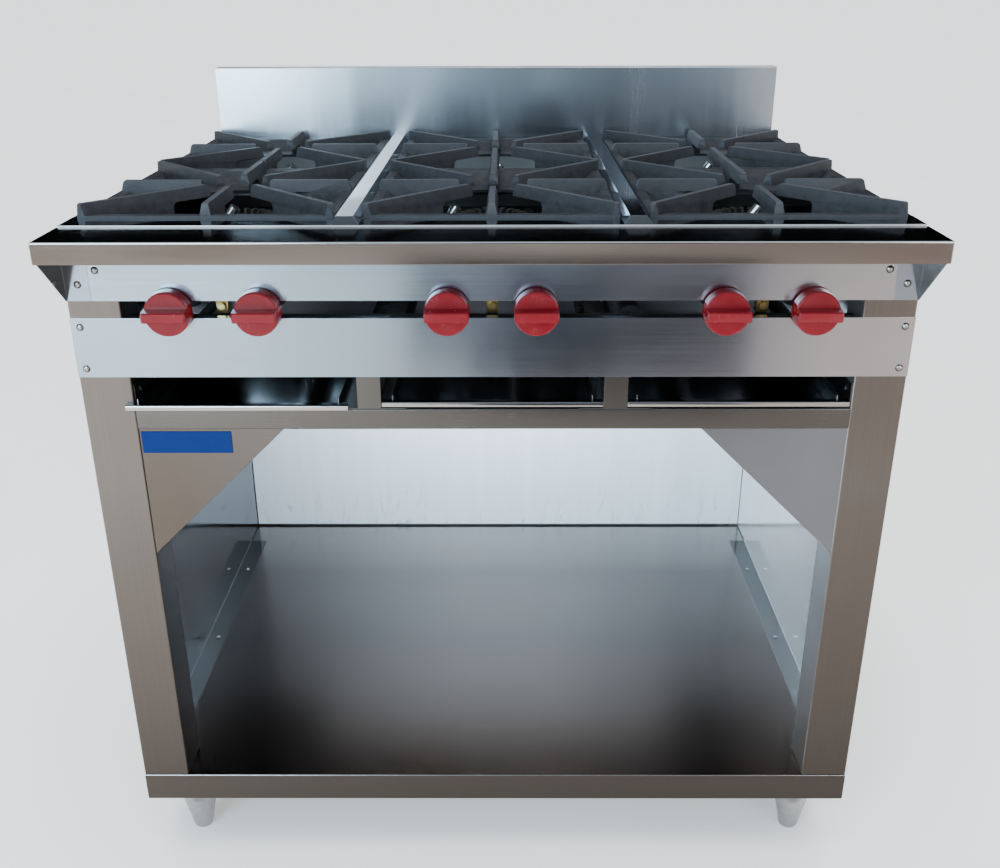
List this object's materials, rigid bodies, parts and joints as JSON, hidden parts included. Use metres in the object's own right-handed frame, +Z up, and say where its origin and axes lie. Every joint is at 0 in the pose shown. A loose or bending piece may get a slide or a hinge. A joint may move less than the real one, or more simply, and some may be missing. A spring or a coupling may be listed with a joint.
{
  "type": "commercial gas range",
  "caption": "Stainless commercial gas range with open cast-iron burners, pull-out drip trays, turning knobs, a front rail and an open storage shelf on levelling feet.",
  "frame": {"origin": "on the floor under the middle of the overall box", "axes": "+X to the right as seen from the front, +Y to the rear, +Z up"},
  "size_m": [1.004, 0.859, 1.048],
  "materials": {
    "satin_stainless": "satin brushed stainless sheet",
    "polished_stainless": "bright polished stainless sheet",
    "tray_stainless": "used stainless sheet",
    "cast_iron": "as cast, seasoned",
    "burner_iron": "as cast",
    "brass": "machined",
    "black_pipe": "black varnished steel pipe",
    "aluminium_tube": "plain drawn tube",
    "aluminium_rivet": "plain",
    "red_knob": "satin red moulding",
    "cast_aluminium": "satin cast"
  },
  "bodies": {
    "carcass": {"bottom_shelf": "polished_stainless", "side_panel_left": "polished_stainless", "side_panel_right": "polished_stainless", "back_panel": "polished_stainless", "front_posts": "satin_stainless", "rear_posts": "satin_stainless", "gussets": "satin_stainless", "mid_rail": "satin_stainless", "tray_dividers": "satin_stainless", "tray_runners": "satin_stainless", "lower_front_panel": "satin_stainless", "upper_front_strip": "satin_stainless", "front_rail": "polished_stainless", "rail_brackets": "satin_stainless", "deck_front": "polished_stainless", "deck_rear": "satin_stainless", "deck_sides": "satin_stainless", "divider_strips": "polished_stainless", "grate_crossbars": "satin_stainless", "backsplash": "polished_stainless", "manifold": "black_pipe", "gas_supply_pipe": "black_pipe", "gas_valves": "brass", "pilot_valves": "brass", "pilot_tubes": "aluminium_tube", "burner_rails": "satin_stainless", "air_shutters": "satin_stainless", "rivets": "aluminium_rivet", "foot_plates": "satin_stainless", "burner_front_left": "burner_iron", "burner_front_centre": "burner_iron", "burner_front_right": "burner_iron", "burner_rear_left": "burner_iron", "burner_rear_centre": "burner_iron", "burner_rear_right": "burner_iron"},
    "knob_1": {"knob_1": "red_knob", "valve_stem_1": "brass"},
    "knob_2": {"knob_2": "red_knob", "valve_stem_2": "brass"},
    "knob_3": {"knob_3": "red_knob", "valve_stem_3": "brass"},
    "knob_4": {"knob_4": "red_knob", "valve_stem_4": "brass"},
    "knob_5": {"knob_5": "red_knob", "valve_stem_5": "brass"},
    "knob_6": {"knob_6": "red_knob", "valve_stem_6": "brass"},
    "drip_tray_left": {"drip_tray_left": "tray_stainless"},
    "drip_tray_centre": {"drip_tray_centre": "tray_stainless"},
    "drip_tray_right": {"drip_tray_right": "tray_stainless"},
    "grate_front_left": {"grate_front_left": "cast_iron"},
    "grate_front_centre": {"grate_front_centre": "cast_iron"},
    "grate_front_right": {"grate_front_right": "cast_iron"},
    "grate_rear_left": {"grate_rear_left": "cast_iron"},
    "grate_rear_centre": {"grate_rear_centre": "cast_iron"},
    "grate_rear_right": {"grate_rear_right": "cast_iron"},
    "foot_front_left": {"foot_front_left": "cast_aluminium"},
    "foot_front_right": {"foot_front_right": "cast_aluminium"},
    "foot_rear_left": {"foot_rear_left": "cast_aluminium"},
    "foot_rear_right": {"foot_rear_right": "cast_aluminium"}
  },
  "joints": [
    {"name": "knob_1_turn", "type": "hinge", "parent": "carcass", "child": "knob_1", "pos_m": [-0.3777, -0.3657, 0.8305], "axis": [0, -1, 0], "range_deg": [0, 90]},
    {"name": "knob_2_turn", "type": "hinge", "parent": "carcass", "child": "knob_2", "pos_m": [-0.2733, -0.3657, 0.8305], "axis": [0, -1, 0], "range_deg": [0, 90]},
    {"name": "knob_3_turn", "type": "hinge", "parent": "carcass", "child": "knob_3", "pos_m": [-0.0522, -0.3657, 0.8305], "axis": [0, -1, 0], "range_deg": [0, 90]},
    {"name": "knob_4_turn", "type": "hinge", "parent": "carcass", "child": "knob_4", "pos_m": [0.0522, -0.3657, 0.8305], "axis": [0, -1, 0], "range_deg": [0, 90]},
    {"name": "knob_5_turn", "type": "hinge", "parent": "carcass", "child": "knob_5", "pos_m": [0.2733, -0.3657, 0.8305], "axis": [0, -1, 0], "range_deg": [0, 90]},
    {"name": "knob_6_turn", "type": "hinge", "parent": "carcass", "child": "knob_6", "pos_m": [0.3777, -0.3657, 0.8305], "axis": [0, -1, 0], "range_deg": [0, 90]},
    {"name": "drip_tray_left_pull", "type": "slide", "parent": "carcass", "child": "drip_tray_left", "axis": [0, -1, 0], "range_m": [0, 0.5]},
    {"name": "drip_tray_centre_pull", "type": "slide", "parent": "carcass", "child": "drip_tray_centre", "axis": [0, -1, 0], "range_m": [0, 0.5]},
    {"name": "drip_tray_right_pull", "type": "slide", "parent": "carcass", "child": "drip_tray_right", "axis": [0, -1, 0], "range_m": [0, 0.5]},
    {"name": "grate_front_left_lift", "type": "slide", "parent": "carcass", "child": "grate_front_left", "axis": [0, 0, 1], "range_m": [0, 0.06]},
    {"name": "grate_front_centre_lift", "type": "slide", "parent": "carcass", "child": "grate_front_centre", "axis": [0, 0, 1], "range_m": [0, 0.06]},
    {"name": "grate_front_right_lift", "type": "slide", "parent": "carcass", "child": "grate_front_right", "axis": [0, 0, 1], "range_m": [0, 0.06]},
    {"name": "grate_rear_left_lift", "type": "slide", "parent": "carcass", "child": "grate_rear_left", "axis": [0, 0, 1], "range_m": [0, 0.06]},
    {"name": "grate_rear_centre_lift", "type": "slide", "parent": "carcass", "child": "grate_rear_centre", "axis": [0, 0, 1], "range_m": [0, 0.06]},
    {"name": "grate_rear_right_lift", "type": "slide", "parent": "carcass", "child": "grate_rear_right", "axis": [0, 0, 1], "range_m": [0, 0.06]},
    {"name": "foot_front_left_level", "type": "slide", "parent": "carcass", "child": "foot_front_left", "axis": [0, 0, -1], "range_m": [0, 0.02]},
    {"name": "foot_front_right_level", "type": "slide", "parent": "carcass", "child": "foot_front_right", "axis": [0, 0, -1], "range_m": [0, 0.02]},
    {"name": "foot_rear_left_level", "type": "slide", "parent": "carcass", "child": "foot_rear_left", "axis": [0, 0, -1], "range_m": [0, 0.02]},
    {"name": "foot_rear_right_level", "type": "slide", "parent": "carcass", "child": "foot_rear_right", "axis": [0, 0, -1], "range_m": [0, 0.02]}
  ]
}
